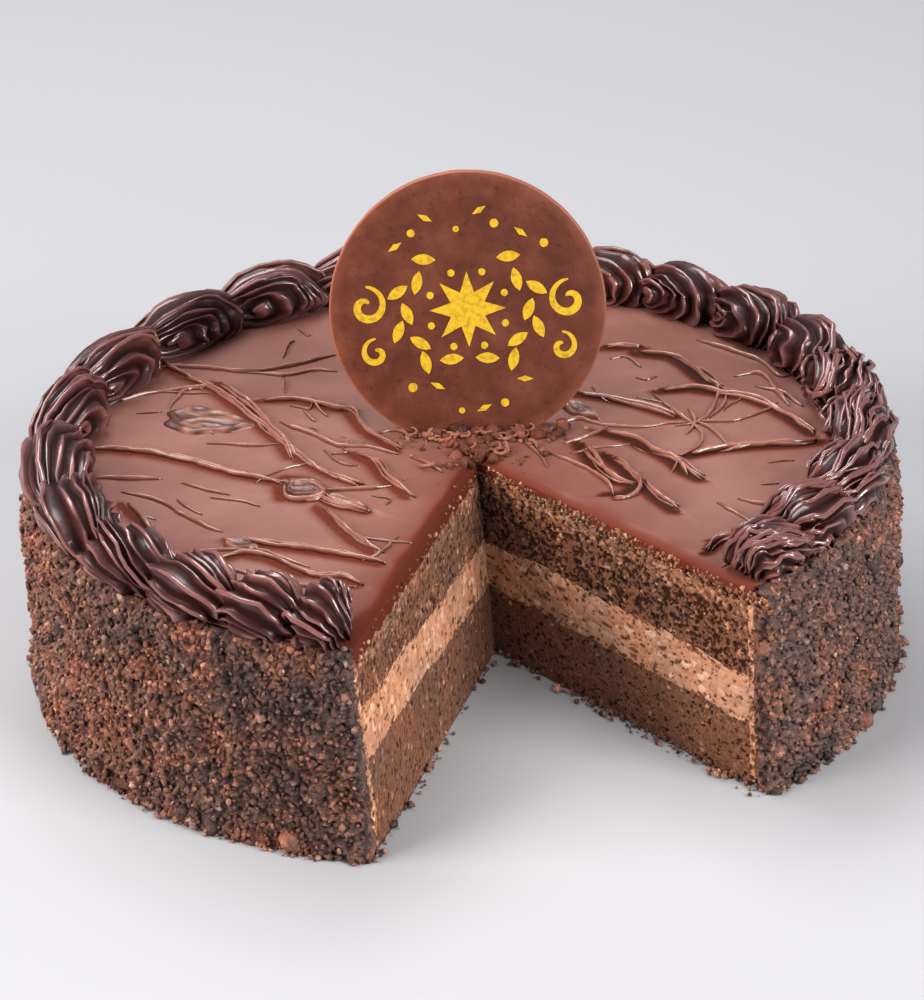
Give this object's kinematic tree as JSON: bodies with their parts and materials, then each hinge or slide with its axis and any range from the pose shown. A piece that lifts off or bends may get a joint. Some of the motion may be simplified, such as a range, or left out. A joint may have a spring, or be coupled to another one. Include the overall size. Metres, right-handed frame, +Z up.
{
  "type": "round chocolate layer cake with a slice cut out",
  "caption": "Round chocolate layer cake with a slice cut out: sponge and mousse layers, ganache top, piped border, crumbed side and an upright chocolate disc.",
  "frame": {"origin": "on the cake's axis at its flat base, the face that it rests on", "axes": "+Z up through the cake; the missing slice opens towards -Y; +X to the right seen from the opening"},
  "size_m": [0.2031, 0.1928, 0.1072],
  "materials": {
    "sponge": "open dark chocolate crumb, matt",
    "mousse": "airy light chocolate mousse, matt",
    "crumbs": "pressed dark cake crumbs, matt",
    "ganache": "satin milk chocolate ganache",
    "border": "glossy dark piped ganache",
    "disc": "satin moulded milk chocolate with a printed gold design"
  },
  "bodies": {
    "root": {"sponge_bottom": "sponge", "mousse_filling": "mousse", "sponge_top": "sponge", "mousse_coat": "mousse", "crumb_coat": "crumbs", "ganache_top": "ganache", "chocolate_disc": "disc", "border_shell_01": "border", "border_shell_02": "border", "border_shell_03": "border", "border_shell_04": "border", "border_shell_05": "border", "border_shell_06": "border", "border_shell_07": "border", "border_shell_08": "border", "border_shell_09": "border", "border_shell_10": "border", "border_shell_11": "border", "border_shell_12": "border", "border_shell_13": "border", "border_shell_14": "border", "border_shell_15": "border", "border_shell_16": "border", "border_shell_17": "border", "border_shell_18": "border", "border_shell_19": "border", "border_shell_20": "border", "border_shell_21": "border", "border_shell_22": "border"}
  },
  "joints": []
}
